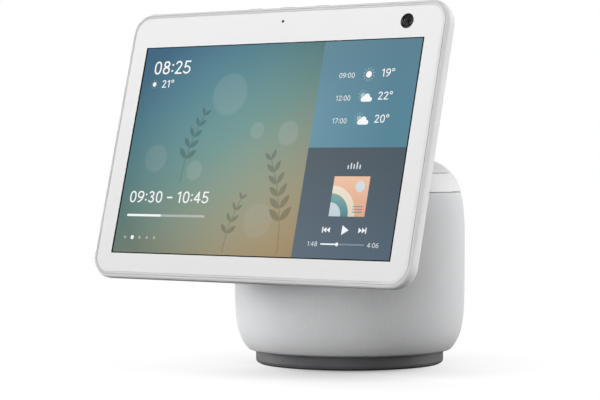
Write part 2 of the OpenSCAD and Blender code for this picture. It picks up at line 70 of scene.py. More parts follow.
def outline(z):
    """Radius of the base's outside at height z."""
    top = BASE_R * max(0.0, 1 - max(0.0, (z - WAIST) / (DOME_Z - WAIST)) ** 4.6) ** (1 / 4.5)
    return top - 9.35 * math.exp(-(z - 9.4) / 9.5)


def lid_z(r):
    return WAIST + (DOME_Z - WAIST) * (1 - (r / BASE_R) ** 4.5) ** (1 / 4.6)


# ---------------------------------------------------------------- materials
def srgb(r, g, b):
    """Linear colour of 8-bit display values."""
    return tuple(((c / 255 + 0.055) / 1.055) ** 2.4 if c > 10 else c / 255 / 12.92 for c in (r, g, b)) + (1.0,)


class Tree:
    """Short names for building a material's nodes."""

    def __init__(self, name):
        self.mat = bpy.data.materials.new(name)
        self.mat.use_nodes = True
        self.nt = self.mat.node_tree
        self.bsdf = next(n for n in self.nt.nodes if n.type == "BSDF_PRINCIPLED")

    def put(self, socket, v):
        if isinstance(v, bpy.types.NodeSocket):
            self.nt.links.new(v, socket)
        else:
            socket.default_value = v

    def add(self, kind, **sockets):
        n = self.nt.nodes.new(kind)
        for k, v in sockets.items():
            self.put(n.inputs[k.replace("_", " ")], v)
        return n

    def set(self, **sockets):
        for k, v in sockets.items():
            self.put(self.bsdf.inputs[k.replace("_", " ")], v)
        return self

    def coords(self):
        return self.add("ShaderNodeTexCoord").outputs["Object"]

    def math(self, op, a, b=0.0, c=None, clamp=False):
        n = self.nt.nodes.new("ShaderNodeMath")
        n.operation, n.use_clamp = op, clamp
        self.put(n.inputs[0], a)
        self.put(n.inputs[1], b)
        if c is not None:
            self.put(n.inputs[2], c)
        return n.outputs[0]

    def noise(self, vector, scale, detail=2.0, rough=0.5):
        return self.add("ShaderNodeTexNoise", Vector=vector, Scale=scale, Detail=detail, Roughness=rough).outputs["Fac"]

    def span(self, value, a, b, lo, hi, smooth=False):
        n = self.nt.nodes.new("ShaderNodeMapRange")
        n.interpolation_type = "SMOOTHSTEP" if smooth else "LINEAR"
        for i, v in enumerate((value, a, b, lo, hi)):
            self.put(n.inputs[i], v)
        return n.outputs[0]

    def mix(self, fac, a, b, blend="MIX"):
        n = self.nt.nodes.new("ShaderNodeMix")
        n.data_type, n.blend_type = "RGBA", blend
        self.put(n.inputs[0], fac)
        self.put(n.inputs[6], a)
        self.put(n.inputs[7], b)
        return n.outputs[2]

    def ramp(self, fac, stops):
        n = self.nt.nodes.new("ShaderNodeValToRGB")
        e = n.color_ramp.elements
        while len(e) < len(stops):
            e.new(0.5)
        for k, (p, c) in zip(e, stops):
            k.position, k.color = p, c
        self.put(n.inputs[0], fac)
        return n.outputs[0]

    def bump(self, height, distance, strength=1.0):
        return self.add("ShaderNodeBump", Height=height, Strength=strength, Distance=distance).outputs[0]


def moulded(name, colour, rough=0.42, grain=5200.0, depth=0.000012, spread=0.035, level=0.42, painted_side_light=None):
    """Moulded plastic: fine spark-erosion grain, faint cloudy colour and a roughness that wanders a little. Where end
    factors are given, painted shade darkens the left end and painted light brightens the right end.
    """
    t = Tree(name)
    co = t.coords()
    cloud, fine, handled = t.noise(co, 38.0, 3.0), t.noise(co, grain, 2.0), t.noise(co, 210.0, 2.0)
    dark = tuple(c * (1 - spread) for c in colour[:3]) + (1.0,)
    paint = t.mix(t.span(cloud, 0.3, 0.7, 0.0, 1.0), dark, colour)
    # Painted shade on the left end and painted light on the right end of the part.
    if painted_side_light:
        x = t.add("ShaderNodeSeparateXYZ", Vector=co).outputs[0]
        k = t.math("MULTIPLY", t.span(x, -0.122, -0.100, painted_side_light[0], 1.0), t.span(x, 0.100, 0.122, 1.0, painted_side_light[1]))
        paint = t.mix(1.0, paint, t.add("ShaderNodeCombineXYZ", X=k, Y=k, Z=k).outputs[0], "MULTIPLY")
    t.set(Base_Color=paint)
    t.set(Roughness=t.span(t.math("MULTIPLY_ADD", fine, 0.4, t.math("MULTIPLY", handled, 0.6)), 0.3, 0.7, rough - 0.05, rough + 0.06))
    t.set(Normal=t.bump(fine, depth, 0.55), Specular_IOR_Level=level)
    return t.mat


def metal(name, colour, rough=0.34, stretch=(1.0, 1.0, 14.0)):
    """Machined metal with fine turned lines."""
    t = Tree(name)
    m = t.add("ShaderNodeMapping", Vector=t.coords(), Scale=stretch)
    lines = t.noise(m.outputs[0], 900.0, 2.0)
    t.set(Base_Color=t.mix(t.span(lines, 0.3, 0.7, 0.0, 1.0), tuple(c * 0.82 for c in colour[:3]) + (1.0,), colour))
    t.set(Metallic=1.0, Roughness=t.span(lines, 0.3, 0.7, rough - 0.08, rough + 0.1), Normal=t.bump(lines, 0.000008, 0.5))
    return t.mat


def speckled(name, a, b, rough, grain, depth, cloud_scale=60.0, level=0.4):
    """Dull moulded surfaces: two close tones in clouds over a coarse grain."""
    t = Tree(name)
    co = t.coords()
    fine, cloud = t.noise(co, grain, 3.0), t.noise(co, cloud_scale, 3.0)
    t.set(Base_Color=t.mix(t.span(cloud, 0.3, 0.7, 0.0, 1.0), a, b))
    t.set(Roughness=t.span(fine, 0.3, 0.7, rough - 0.08, rough + 0.08), Normal=t.bump(fine, depth, 0.6), Specular_IOR_Level=level)
    return t.mat


def board():
    """Green solder mask with copper tracks showing faintly through it."""
    t = Tree("solder_mask")
    co = t.coords()
    b = t.add("ShaderNodeTexBrick", Vector=co, Scale=260.0, Color1=(0.012, 0.085, 0.038, 1), Color2=(0.016, 0.11, 0.048, 1), Mortar=(0.03, 0.16, 0.07, 1))
    b.inputs["Mortar Size"].default_value = 0.03
    fine = t.noise(co, 1800.0, 2.0)
    t.set(Base_Color=b.outputs["Color"], Roughness=t.span(fine, 0.3, 0.7, 0.3, 0.42), Normal=t.bump(b.outputs["Fac"], 0.00002, 0.4))
    return t.mat


def knit(name, k=1.0):
    """Tight acoustic knit with painted shade in the pits between its loops, and with k below 1 painted shade over the
    whole knit. The map named weave counts the mesh's own rows and columns, so the loops follow its relief.
    """
    t = Tree(name)
    uv = t.add("ShaderNodeUVMap")
    uv.uv_map = "weave"
    sep = t.add("ShaderNodeSeparateXYZ", Vector=uv.outputs[0])
    u = t.math("COSINE", t.math("MULTIPLY", sep.outputs[0], math.pi))
    v = t.math("COSINE", t.math("MULTIPLY", sep.outputs[1], math.pi))
    loops = t.math("MULTIPLY", u, v)
    co = t.coords()
    fibre, cloud = t.noise(co, 3400.0, 3.0, 0.6), t.noise(co, 45.0, 3.0)
    height = t.math("MULTIPLY_ADD", fibre, 0.35, loops)
    # Painted shade: the yarn darkens towards the pits between loops.
    painted_pit_shade = t.span(loops, -1.0, 0.2, 0.0, 1.0, smooth=True)
    tone = t.mix(t.span(cloud, 0.3, 0.7, 0.0, 1.0), (0.75, 0.755, 0.765, 1), (0.78, 0.785, 0.795, 1))
    yarn = t.mix(t.span(fibre, 0.35, 0.75, 0.0, 0.2), tone, (0.86, 0.86, 0.865, 1))
    paint = t.mix(painted_pit_shade, (0.58, 0.585, 0.597, 1), yarn)
    # k below 1 darkens the whole knit as painted shade.
    t.set(Base_Color=t.mix(1.0, paint, (k, k, k, 1), "MULTIPLY") if k < 1 else paint)
    t.set(Roughness=t.span(fibre, 0.2, 0.8, 0.78, 0.95), Normal=t.bump(height, 0.0001, 0.5))
    t.set(Specular_IOR_Level=0.2, Sheen_Weight=0.1, Sheen_Roughness=0.35)
    return t.mat


def printed_glass(name, colour, rough=0.2, coat=0.3, spread=0.018, level=0.4, low=0.95):
    """Cover glass with paint on its back: a smooth face over a faintly mottled colour, with painted shade that darkens
    it towards the bottom by the factor low, so it pales a little towards the top.
    """
    t = Tree(name)
    co = t.coords()
    cloud, wipe = t.noise(co, 30.0, 2.0), t.noise(co, 95.0, 4.0)
    lo = tuple(c * (1 - spread) for c in colour[:3]) + (1.0,)
    sep = t.add("ShaderNodeSeparateXYZ", Vector=co)
    # Painted shade: the colour falls to the factor low at the bottom of the display.
    k = t.span(sep.outputs[2], 0.06, 0.225, low, 1.0)
    painted_low_shade = t.add("ShaderNodeCombineXYZ", X=k, Y=k, Z=k)
    t.set(Base_Color=t.mix(1.0, t.mix(t.span(cloud, 0.3, 0.7, 0.0, 1.0), lo, colour), painted_low_shade.outputs[0], "MULTIPLY"))
    t.set(Roughness=t.span(wipe, 0.3, 0.7, rough, rough + 0.03))
    t.set(Specular_IOR_Level=level, Coat_Weight=coat, Coat_Roughness=0.12)
    return t.mat


def lens_glass():
    """Coated lens: near black with a faint violet cast that shifts across its face."""
    t = Tree("lens_glass")
    tint = t.noise(t.coords(), 420.0, 1.0)
    t.set(Base_Color=t.mix(tint, (0.006, 0.006, 0.012, 1), (0.02, 0.014, 0.03, 1)), Roughness=t.span(tint, 0.3, 0.7, 0.03, 0.07))
    t.set(Specular_IOR_Level=0.45, Coat_Weight=0.2, Coat_Roughness=0.03)
    return t.mat


def clear_glass():
    t = Tree("clear_glass")
    smear = t.noise(t.coords(), 300.0, 2.0)
    t.set(Base_Color=(0.97, 0.975, 0.98, 1), Roughness=t.span(smear, 0.3, 0.7, 0.0, 0.02), Transmission_Weight=1.0, IOR=1.2)
    return t.mat


def lit(name, colour, glow=1.0):
    """A part of the lit picture. colour is a plain colour or a function that makes one from the tree and the picture's own coordinates."""
    t = Tree(name)
    sep = t.add("ShaderNodeSeparateXYZ", Vector=t.coords())
    s = t.math("MULTIPLY", sep.outputs[0], 1000.0)
    up_y = t.math("MULTIPLY_ADD", sep.outputs[1], 1000.0 * math.sin(TILT), -SCR_Y * math.sin(TILT) - SCR_Z * math.cos(TILT))
    up = t.math("MULTIPLY_ADD", sep.outputs[2], 1000.0 * math.cos(TILT), up_y)
    paint = colour(t, s, up) if callable(colour) else colour
    grid = t.math("MULTIPLY", t.math("SINE", t.math("MULTIPLY", s, 2 * math.pi / 0.34)), t.math("SINE", t.math("MULTIPLY", up, 2 * math.pi / 0.34)))
    cell = t.span(grid, -1.0, 1.0, 0.965, 1.035)
    grey = t.add("ShaderNodeCombineXYZ", X=cell, Y=cell, Z=cell)
    lamp = t.mix(1.0, paint, grey.outputs[0], "MULTIPLY")
    t.set(Base_Color=(0.004, 0.004, 0.005, 1), Roughness=t.span(t.noise(t.coords(), 95.0, 4.0), 0.35, 0.7, 0.09, 0.15), Specular_IOR_Level=0.12)
    t.set(Emission_Color=lamp, Emission_Strength=glow)
    return t.mat


def wallpaper(k, white):
    """Slanted blue-to-sand gradient with darker corners and soft discs of light, all multiplied by k and mixed towards white."""

    def paint(t, s, up):
        a = t.span(s, PIC_L, SPLIT_S, 0.0, 1.0)
        b = t.span(up, PIC_UP, PIC_LO, 0.0, 1.0)
        d = t.math("MULTIPLY_ADD", a, 0.4, t.math("MULTIPLY", b, 0.6))
        c = t.ramp(d, [(0.0, srgb(84, 130, 164)), (0.28, srgb(98, 145, 156)), (0.5, srgb(118, 154, 148)), (0.72, srgb(154, 160, 138)), (1.0, srgb(196, 168, 126))])
        da, db = t.math("SUBTRACT", a, 0.61), t.math("SUBTRACT", b, 0.49)
        far = t.math("ADD", t.math("MULTIPLY", da, da), t.math("MULTIPLY", db, db))
        shade = t.span(far, 0.0, 0.46, 1.0, 0.59)
        discs = [(-33.0, 36.0, 15.0, 0.10), (-86.0, -6.0, 10.0, 0.10), (-52.0, -14.0, 7.0, 0.12), (6.0, -46.0, 12.0, 0.09), (19.0, 10.0, 8.5, 0.13), (-6.0, 12.0, 6.0, 0.10)]
        for x, y, r, amount in discs:
            dx, dy = t.math("SUBTRACT", s, x), t.math("SUBTRACT", up, y)
            dist = t.math("SQRT", t.math("ADD", t.math("MULTIPLY", dx, dx), t.math("MULTIPLY", dy, dy)))
            c = t.mix(t.span(dist, r, r * 0.82, 0.0, amount, smooth=True), c, (0.62, 0.68, 0.66, 1))
        grey = t.add("ShaderNodeCombineXYZ", X=shade, Y=shade, Z=shade)
        c = t.mix(1.0, c, grey.outputs[0], "MULTIPLY")
        if white:
            c = t.mix(white, c, (1, 1, 1, 1))
        return t.mix(1.0, c, (k, k, k, 1), "MULTIPLY")

    return paint


def panel(left, right, top):
    """Panel colour that runs from left to right, and to a third tone along the top."""

    def paint(t, s, up):
        across = t.span(s, SPLIT_S, 93.0, 0.0, 1.0)
        return t.mix(t.span(up, PIC_UP * 0.2, PIC_UP, 0.0, 0.55, smooth=True), t.mix(across, left, right), top)

    return paint


def fall(a, b, t0, t1):
    return lambda t, s, up: t.mix(t.span(up, t0, t1, 0.0, 1.0), a, b)


M_WHITE = moulded("white_shell", (0.80, 0.80, 0.80, 1), rough=0.52, level=0.15)
# Greyer copies of the white shell for the rim lip and the inside of the groove: painted shade, darker at the left end
# and lighter at the right end.
M_RIM_PAINTED_SHADE = moulded("shell_rim_painted_shade", (0.65, 0.65, 0.65, 1), rough=0.55, level=0.12, painted_side_light=(0.86, 1.17))
M_GAP_PAINTED_SHADE = moulded("shell_gap_painted_shade", (0.52, 0.52, 0.52, 1), rough=0.6, level=0.1, painted_side_light=(0.86, 1.25))
# A pale tone for faces inside the base's seams: painted light in place of their shade.
M_SEAM_PAINTED_LIGHT = moulded("base_seam_painted_light", (0.82, 0.82, 0.83, 1), rough=0.6, level=0.1)
M_BAND = moulded("white_band", (0.805, 0.805, 0.805, 1), rough=0.5, level=0.2)
M_NECK = moulded("white_neck_paint", (0.70, 0.70, 0.70, 1), rough=0.5, grain=2600.0, depth=0.00002, level=0.2)
M_BUTTON = moulded("white_button", (0.58, 0.58, 0.58, 1), rough=0.5, level=0.15)
M_FOOT = speckled("foot_grey", (0.081, 0.0825, 0.0865, 1), (0.1, 0.1015, 0.1055, 1), 0.62, 2600.0, 0.00003, level=0.35)
M_RUBBER = speckled("rubber_pad", (0.018, 0.018, 0.019, 1), (0.032, 0.031, 0.03, 1), 0.8, 1500.0, 0.00008, 120.0, 0.3)
M_BLACK = speckled("black_moulding", (0.017, 0.017, 0.018, 1), (0.024, 0.024, 0.025, 1), 0.5, 2400.0, 0.00003)
M_ACETAL = moulded("natural_acetal", (0.74, 0.72, 0.66, 1), rough=0.35)
M_KNIT = knit("grey_knit")
# A darker copy of the knit: painted shade for the rows that tuck under the band.
M_KNIT_PAINTED_SHADE = knit("grey_knit_painted_shade", 0.9)
M_STEEL = metal("turned_steel", (0.56, 0.57, 0.58, 1))
M_BRASS = metal("turned_brass", (0.62, 0.43, 0.16, 1), rough=0.3)
M_SHEET = metal("sheet_metal", (0.62, 0.63, 0.64, 1), rough=0.4, stretch=(1.0, 12.0, 1.0))
M_BOARD = board()
# The bezel glass carries painted shade that darkens it towards its bottom.
M_GLASS = printed_glass("bezel_glass_painted_shade", (0.836, 0.836, 0.836, 1), 0.46, 0.0, 0.008, 0.3, 0.895)
M_INKGREY = moulded("grey_print", (0.20, 0.20, 0.21, 1), rough=0.5)
M_DARKGLASS = printed_glass("dark_window", (0.012, 0.012, 0.013, 1), 0.1, 0.05, 0.2, 0.12)
M_LENS = lens_glass()
M_CLEAR = clear_glass()
M_BARREL = speckled("lens_barrel", (0.055, 0.055, 0.058, 1), (0.07, 0.07, 0.073, 1), 0.5, 3000.0, 0.00001, level=0.3)

BY_SLOT = {
    "rubber": M_RUBBER, "foot_plastic": M_FOOT, "steel": M_STEEL, "black_plastic": M_BLACK, "fabric": M_KNIT, "circuit_board": M_BOARD,
    "sheet_metal": M_SHEET, "bearing_plastic": M_ACETAL, "brass": M_BRASS, "white_plastic": M_WHITE, "white_paint": M_NECK,
    "white_glass": M_GLASS, "screen": M_DARKGLASS}
for row in frame["record"]["subparts"]:
    o = nodes[row["node"]]
    o.data.materials.clear()
    o.data.materials.append(BY_SLOT[row["material_slot"]])


def dress(name, mat):
    nodes[name].data.materials.clear()
    nodes[name].data.materials.append(mat)


dress("band_ring", M_BAND)


def paint_seam_light(name, mat, r_min, z_min, z_max):
    """Faces that lie inside a shadow gap of the base take a pale tone: painted light that lifts the gap's shade."""
    mesh = nodes[name].data
    mesh.materials.append(mat)
    for poly in mesh.polygons:
        at = [mesh.vertices[i].co * 1000 for i in poly.vertices]
        if all(math.hypot(p.x, p.y) > r_min and z_min < p.z < z_max for p in at):
            poly.material_index = 1


paint_seam_light("turntable", M_SEAM_PAINTED_LIGHT, 66.5, 109.0, 112.4)
paint_seam_light("band_ring", M_SEAM_PAINTED_LIGHT, 59.5, 111.9, 112.3)
for name in ("volume_down_button", "volume_up_button", "mute_button", "shutter_slider"):
    dress(name, M_BUTTON)


def soften(name, width, segments=3, angle=33.0):
    """Rounds a carried-over part's sharp edges, as a mould does."""
    o = nodes[name]
    if "custom_normal" in o.data.attributes:
        o.data.attributes.remove(o.data.attributes["custom_normal"])
    w = o.modifiers.new("weld", "WELD")
    w.merge_threshold = 2e-6
    b = o.modifiers.new("round", "BEVEL")
    b.width, b.segments, b.limit_method, b.angle_limit = width * MM, segments, "ANGLE", math.radians(angle)
    b.harden_normals = True
    for p in o.data.polygons:
        p.use_smooth = True


# ---------------------------------------------------------------- mesh helpers
def piece(name, verts, faces, mats, body, index=None, smooth=True):
    me = bpy.data.meshes.new(name)
    me.from_pydata([tuple(v) for v in verts], [], [tuple(f) for f in faces])
    for m in mats:
        me.materials.append(m)
    if index is not None:
        me.polygons.foreach_set("material_index", np.asarray(index, np.int32))
    flags = np.full(len(me.polygons), smooth, bool) if isinstance(smooth, bool) else np.asarray(smooth, bool)
    me.polygons.foreach_set("use_smooth", flags)
    me.update()
    o = bpy.data.objects.new(name, me)
    scene.collection.objects.link(o)
    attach(o, body)
    return o


def outwards(o):
    """Turns a closed piece's faces outwards."""
    bm = bmesh.new()
    bm.from_mesh(o.data)
    bmesh.ops.recalc_face_normals(bm, faces=bm.faces)
    bm.to_mesh(o.data)
    bm.free()
    return o


def resample(path, step):
    p = np.array(path, float)
    along = np.r_[0, np.cumsum(np.hypot(*np.diff(p, axis=0).T))]
    n = max(2, int(round(along[-1] / step)))
    at = np.linspace(0, along[-1], n + 1)
    return np.c_[np.interp(at, along, p[:, 0]), np.interp(at, along, p[:, 1])]


def side_of(path):
    """Unit vectors to the right of a path."""
    d = np.gradient(np.asarray(path, float), axis=0)
    d /= np.linalg.norm(d, axis=1)[:, None]
    return np.c_[d[:, 1], -d[:, 0]]


def ccw(p):
    a = np.asarray(p, float)
    area = (a[:, 0] * np.roll(a[:, 1], -1) - np.roll(a[:, 0], -1) * a[:, 1]).sum()
    return [tuple(v) for v in (a if area > 0 else a[::-1])]


class Drawing:
    """Flat shapes painted one over another, cut into faces that each show the last shape painted there."""

    def __init__(self):
        self.shapes, self.zones = [], []

    def paint(self, points, zone):
        self.shapes.append(ccw(points))
        self.zones.append(zone)
        return len(self.shapes) - 1

    def cut(self, drop=()):
        verts, faces = [], []
        for p in self.shapes:
            faces.append(list(range(len(verts), len(verts) + len(p))))
            verts += [Vector(v) for v in p]
        co, _, tris, came_from, _, inside = delaunay_2d_cdt(verts, [], faces, 1, 2e-4)
        at = {i: k for k, ids in enumerate(came_from) for i in ids}
        kept = [(f, self.zones[max(ids)]) for f, ids in zip(tris, inside) if ids and self.zones[max(ids)] not in drop]
        loops = [[at[i] for i in f] for f in faces]
        return [tuple(c) for c in co], [f for f, _ in kept], [z for _, z in kept], loops


def slab(name, drawing, mats, body, d0, d1, drop=(), place=on_display):
    """A plate of the drawing's kept faces between depths d0 and d1. mats is {zone: material}."""
    co, tris, zones, _ = drawing.cut(drop)
    used = sorted({i for f in tris for i in f})
    new = {v: k for k, v in enumerate(used)}
    tris = [[new[i] for i in f] for f in tris]
    n = len(used)
    verts = [place(*co[i], d0) for i in used] + [place(*co[i], d1) for i in used]
    order = list(mats)
    index = [order.index(z) for z in zones]
    edges = {}
    for f, z in zip(tris, index):
        for a, b in zip(f, f[1:] + f[:1]):
            edges[(a, b)] = z
    rim = [(a, b, z) for (a, b), z in edges.items() if (b, a) not in edges]
    faces = tris + [[i + n for i in f[::-1]] for f in tris] + [[b, a, a + n, b + n] for a, b, _ in rim]
    index = index + index + [z for _, _, z in rim]
    return piece(name, verts, faces, [mats[z] for z in order], body, index, False)


def round_rect(x0, x1, t0, t1, r, n=14):
    out = []
    for cx, ct, a0 in ((x1 - r, t1 - r, 0), (x0 + r, t1 - r, 90), (x0 + r, t0 + r, 180), (x1 - r, t0 + r, 270)):
        out += [(cx + r * math.cos(math.radians(a0 + 90 * i / n)), ct + r * math.sin(math.radians(a0 + 90 * i / n))) for i in range(n + 1)]
    return out


def disc(x, y, r, n=40, ry=None):
    ry = r if ry is None else ry
    return [(x + r * math.cos(2 * math.pi * i / n), y + ry * math.sin(2 * math.pi * i / n)) for i in range(n)]


def stroke(points, w, n=6):
    """Outline of a line of width w with round ends."""
    p = np.array(points, float)
    side = side_of(p)

    def cap(end, towards):
        a = math.atan2(towards[1], towards[0])
        return [(end[0] + w / 2 * math.cos(a + math.pi * i / n), end[1] + w / 2 * math.sin(a + math.pi * i / n)) for i in range(1, n)]

    there = [tuple(v) for v in p + side * w / 2]
    again = [tuple(v) for v in (p - side * w / 2)[::-1]]
    return there + cap(p[-1], side[-1]) + again + cap(p[0], -side[0])


def arc(x, y, r, a0, a1, n=20, ry=None):
    ry = r if ry is None else ry
    return [(x + r * math.cos(math.radians(a0 + (a1 - a0) * i / n)), y + ry * math.sin(math.radians(a0 + (a1 - a0) * i / n))) for i in range(n + 1)]


def lathe(profile, n, centre, body, name, mats, index=None, smooth=True, closed=True):
    """Turns (radius, depth) points about the display's normal at centre = (s, t)."""
    verts, rows = [], []
    for r, d in profile:
        if r < 1e-6:
            rows.append([len(verts)] * n)
            verts.append(on_display(centre[0], centre[1], d))
        else:
            rows.append(list(range(len(verts), len(verts) + n)))
            verts += [on_display(centre[0] + r * math.cos(2 * math.pi * i / n), centre[1] + r * math.sin(2 * math.pi * i / n), d) for i in range(n)]
    faces, which = [], []
    pairs = list(zip(rows, rows[1:])) + ([(rows[-1], rows[0])] if closed else [])
    for k, (a, b) in enumerate(pairs):
        for i in range(n):
            j = (i + 1) % n
            f = []
            for v in (a[i], a[j], b[j], b[i]):
                if v not in f:
                    f.append(v)
            if len(f) > 2:
                faces.append(f)
                which.append(index[k] if index else 0)
    return outwards(piece(name, verts, faces, mats, body, which, smooth))


# ---------------------------------------------------------------- knitted sleeve
def build_sleeve():
    n = 600
    path = [(61.8, 8.56), (63.2, 8.80), (64.5, 9.06), (65.35, 9.36)]
    path += [(outline(z) - 0.03, z) for z in np.arange(9.75, 111.21, 0.25)]
    ro, zo = outline(111.3) - 0.03, 111.3
    path += [(ro - 0.6 * (1 - math.cos(a)) - 0.05 * math.sin(a), zo + 0.6 * math.sin(a)) for a in np.radians([25, 50, 75, 90])]
    rows = resample(path, LOOP)
    side = side_of(rows)
    m = len(rows)
    depth = np.full(m, 0.17)
    depth[:2], depth[-2:] = 0.05, 0.04
    inner = [(outline(z) - 1.02, z) for z in (111.2, 106.0, 96.0, 80.0, 60.0, 45.0, 33.0, 24.0, 17.0, 12.5)] + [(outline(10.2) - 1.3, 10.2), (62.0, 9.0)]
    ang = 2 * np.pi * np.arange(n) / n
    ca, sa = np.cos(ang), np.sin(ang)
    grid = []
    for k in range(m):
        low = ((np.arange(n) + k) % 2) * depth[k]
        r, z = rows[k, 0] - side[k, 0] * low, rows[k, 1] - side[k, 1] * low
        grid.append(np.c_[r * ca, r * sa, z])
    for r, z in inner:
        grid.append(np.c_[r * ca, r * sa, np.full(n, z)])
    verts = np.concatenate(grid) * MM
    total = len(grid)
    faces, uvs, index = [], [], []
    for k in range(total):
        a0, b0 = k * n, ((k + 1) % total) * n
        fine = k < m - 1
        # The last rows, where the knit tucks under the band, take the painted-shade knit.
        index += [1 if m - 2 <= k <= m else 0] * (n * 2 if fine else n)
        for i in range(n):
            j = (i + 1) % n
            a, b, c, d = a0 + i, a0 + j, b0 + j, b0 + i
            ua, ub, uc, ud = (i, k), (i + 1, k), (i + 1, k + 1), (i, k + 1)
            if not fine:
                faces.append((a, b, c, d))
                uvs += [ua, ub, uc, ud]
            elif (i + k) % 2 == 0:
                faces += [(a, b, c), (a, c, d)]
                uvs += [ua, ub, uc, ua, uc, ud]
            else:
                faces += [(a, b, d), (b, c, d)]
                uvs += [ua, ub, ud, ub, uc, ud]
    o = piece("knit_sleeve", verts, faces, [M_KNIT, M_KNIT_PAINTED_SHADE], "base", index)
    layer = o.data.uv_layers.new(name="weave")
    layer.data.foreach_set("uv", np.array(uvs, np.float32).ravel())
    # The opening round the power inlet.
    cutter_mesh = bpy.data.meshes.new("opening")
    bm = bmesh.new()
    bmesh.ops.create_cone(bm, cap_ends=True, segments=64, radius1=8.6 * MM, radius2=8.6 * MM, depth=40 * MM,
                          matrix=Matrix.Translation((0, 72 * MM, JACK_Z * MM)) @ Matrix.Rotation(math.radians(90), 4, "X"))
    bm.to_mesh(cutter_mesh)
    bm.free()
    cutter = bpy.data.objects.new("opening", cutter_mesh)
    scene.collection.objects.link(cutter)
    cutm = o.modifiers.new("opening", "BOOLEAN")
    cutm.operation, cutm.object, cutm.solver = "DIFFERENCE", cutter, "EXACT"
    bpy.context.view_layer.update()
    made = bpy.data.meshes.new_from_object(o.evaluated_get(bpy.context.evaluated_depsgraph_get()))
    o.modifiers.clear()
    old = o.data
    o.data = made
    bpy.data.meshes.remove(old)
    bpy.data.objects.remove(cutter)
    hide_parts("fabric_sleeve")
    return o


# ---------------------------------------------------------------- knitted lid
def build_lid():
    rs = np.r_[np.arange(0, 60, 1.0), np.arange(60, 66.2, 0.1)]
    path = [(r, lid_z(r) - 0.03) for r in rs]
    along = resample(path, 0.2)
    length = np.r_[0, np.cumsum(np.hypot(*np.diff(along, axis=0).T))]
    keep = along[:, 1] > 124.75
    end = length[keep][-1]
    side = side_of(along)
    if side[0, 1] < 0:
        side = -side

    def at(rho, low=0.0):
        r = np.interp(rho, length, along[:, 0]) - low * np.interp(rho, length, side[:, 0])
        z = np.interp(rho, length, along[:, 1]) - low * np.interp(rho, length, side[:, 1])
        return r, z

    half = int(end / LOOP) + 1
    ids, verts, weave = {}, [], []

    def vert(i, j):
        if (i, j) not in ids:
            rho, phi = LOOP * math.hypot(i, j), math.atan2(j, i)
            r, z = at(rho, 0.17 if (i + j) % 2 else 0.0)
            ids[(i, j)] = len(verts)
            verts.append((r * math.cos(phi), r * math.sin(phi), z))
            weave.append((i, j))
        return ids[(i, j)]

    faces, edges = [], {}
    reach = end - 0.6 * LOOP
    for i in range(-half, half):
        for j in range(-half, half):
            if max(math.hypot(x, y) for x in (i, i + 1) for y in (j, j + 1)) * LOOP > reach:
                continue
            a, b, c, d = vert(i, j), vert(i + 1, j), vert(i + 1, j + 1), vert(i, j + 1)
            faces += [(a, b, c), (a, c, d)] if (i + j) % 2 == 0 else [(a, b, d), (b, c, d)]
            for p, q in ((a, b), (b, c), (c, d), (d, a)):
                edges[(p, q)] = True
    nxt = {p: q for p, q in edges if (q, p) not in edges}
    first = min(nxt)
    loop = [first]
    while nxt[loop[-1]] != first:
        loop.append(nxt[loop[-1]])
    turn = [math.atan2(verts[v][1], verts[v][0]) for v in loop]
    spread = [(weave[v][0] / math.hypot(*weave[v]), weave[v][1] / math.hypot(*weave[v])) for v in loop]
    r1, z1 = at(end)
    rings = [(r1, z1, end)]
    rings += [(r1 - 0.6 * (1 - math.cos(a)) + 0.25 * math.sin(a), z1 - 0.6 * math.sin(a), end + 0.6 * math.sin(a)) for a in np.radians([30, 60, 90])]
    rings += [(r1 - 1.1, 124.3, end + 1.0), (64.9, lid_z(65.2) - 1.15, end + 2.5), (60.0, lid_z(60.0) - 1.02, end + 8), (50.0, lid_z(50.0) - 1.02, end + 18), (32.0, lid_z(32.0) - 1.02, end + 36)]
    prev = loop
    for r, z, rho in rings:
        ring = list(range(len(verts), len(verts) + len(loop)))
        verts += [(r * math.cos(p), r * math.sin(p), z) for p in turn]
        weave += [(u * rho / LOOP, v * rho / LOOP) for u, v in spread]
        for k in range(len(loop)):
            m = (k + 1) % len(loop)
            faces.append((prev[k], ring[k], ring[m], prev[m]))
        prev = ring
    pole = len(verts)
    verts.append((0, 0, DOME_Z - 1.02))
    weave.append((0, 0))
    faces += [(prev[k], pole, prev[(k + 1) % len(loop)]) for k in range(len(loop))]
    o = piece("knit_lid", np.array(verts) * MM, faces, [M_KNIT], "swivel")
    layer = o.data.uv_layers.new(name="weave")
    table = np.array(weave, np.float32)
    corner = np.zeros(len(o.data.loops), np.int32)
    o.data.loops.foreach_get("vertex_index", corner)
    layer.data.foreach_set("uv", table[corner].ravel())
    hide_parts("cap_fabric")
    return o


